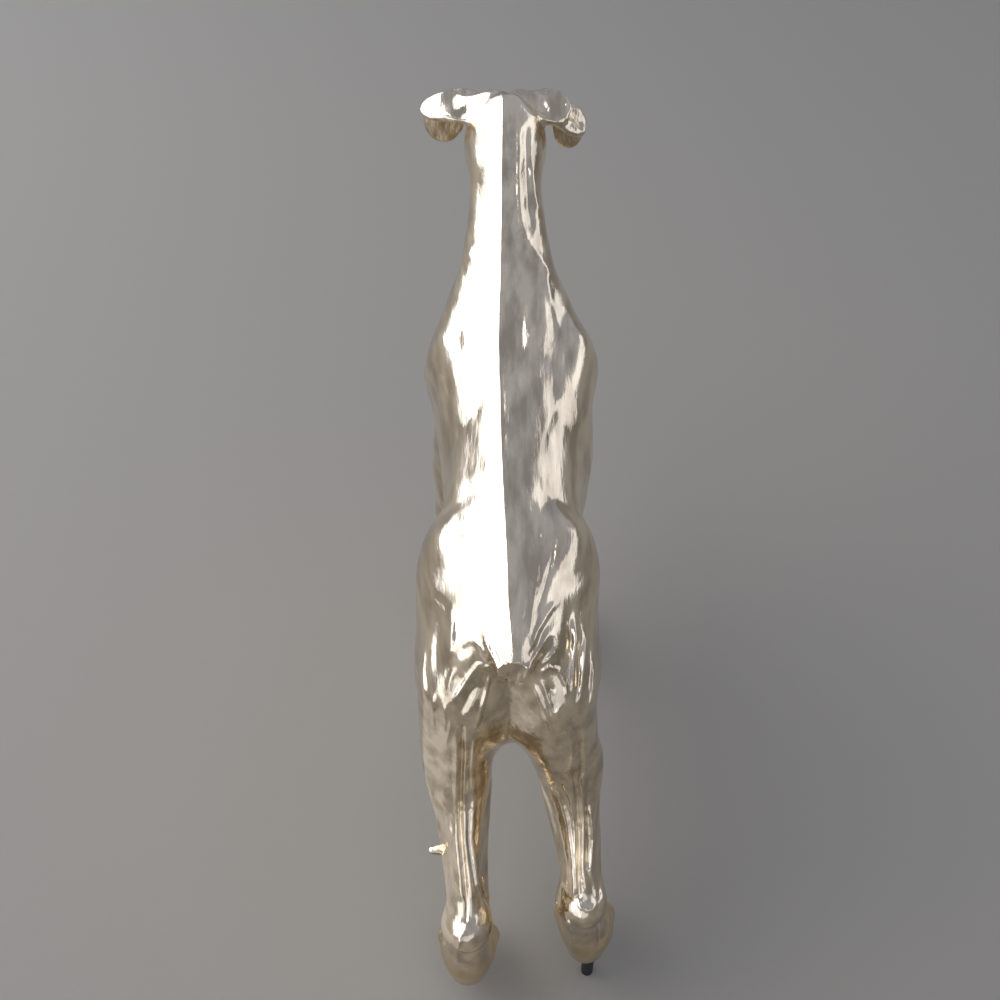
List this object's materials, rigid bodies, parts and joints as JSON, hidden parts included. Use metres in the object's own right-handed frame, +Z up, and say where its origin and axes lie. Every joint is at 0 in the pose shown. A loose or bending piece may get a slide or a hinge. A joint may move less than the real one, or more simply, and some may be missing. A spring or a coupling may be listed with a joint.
{
  "type": "bronze dog statue",
  "caption": "Polished bronze dog standing on steel mounting studs, with folded ears held out sideways and a cut tail stub.",
  "frame": {"origin": "on the floor under the middle of the statue's bounding box", "axes": "+Z up, +Y the way the dog faces, +X to its right"},
  "size_m": [0.2258, 0.8992, 0.7505],
  "materials": {
    "bronze": "polished cast bronze with tool marks, no patina",
    "steel": "blackened steel"
  },
  "bodies": {
    "root": {"dog": "bronze", "stud_left_hind": "steel", "stud_right_hind": "steel", "stud_left_fore": "steel", "stud_right_fore": "steel"}
  },
  "joints": []
}
